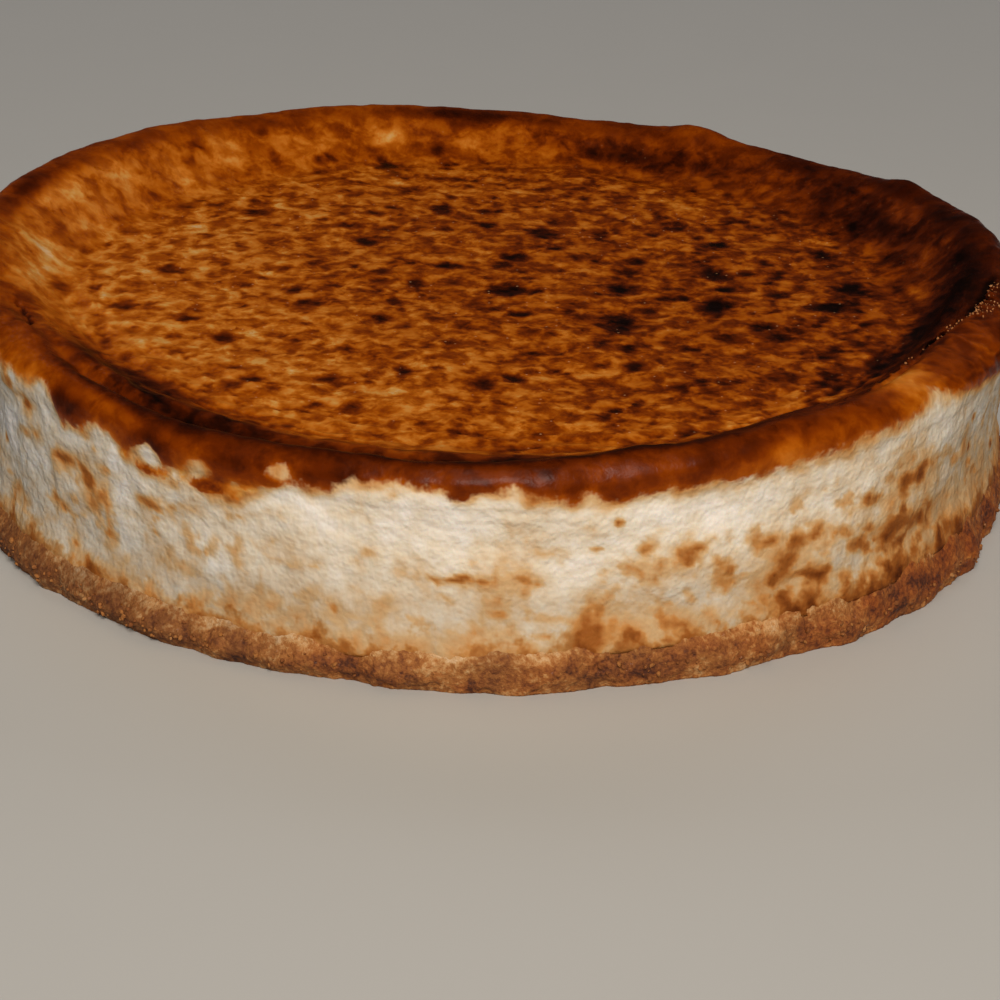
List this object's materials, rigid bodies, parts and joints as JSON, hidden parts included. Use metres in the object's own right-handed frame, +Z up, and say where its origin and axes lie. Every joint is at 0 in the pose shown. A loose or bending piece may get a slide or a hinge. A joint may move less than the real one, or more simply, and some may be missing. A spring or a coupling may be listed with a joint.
{
  "type": "baked cheesecake",
  "caption": "Round uncut baked cheesecake: pale filling with a dished, browned top and an uneven rolled rim, on a thin biscuit crumb base.",
  "frame": {"origin": "middle of the flat underside of the crumb base, at the centre of the cake's bounding box", "axes": "+Z up through the cake's middle, -Y towards the side seen in front, +X to that side's right"},
  "size_m": [0.2303, 0.2288, 0.0501],
  "materials": {
    "biscuit_crumb": null,
    "browned_filling": null
  },
  "bodies": {
    "root": {"crumb_base": "biscuit_crumb", "baked_filling": "browned_filling"}
  },
  "joints": []
}
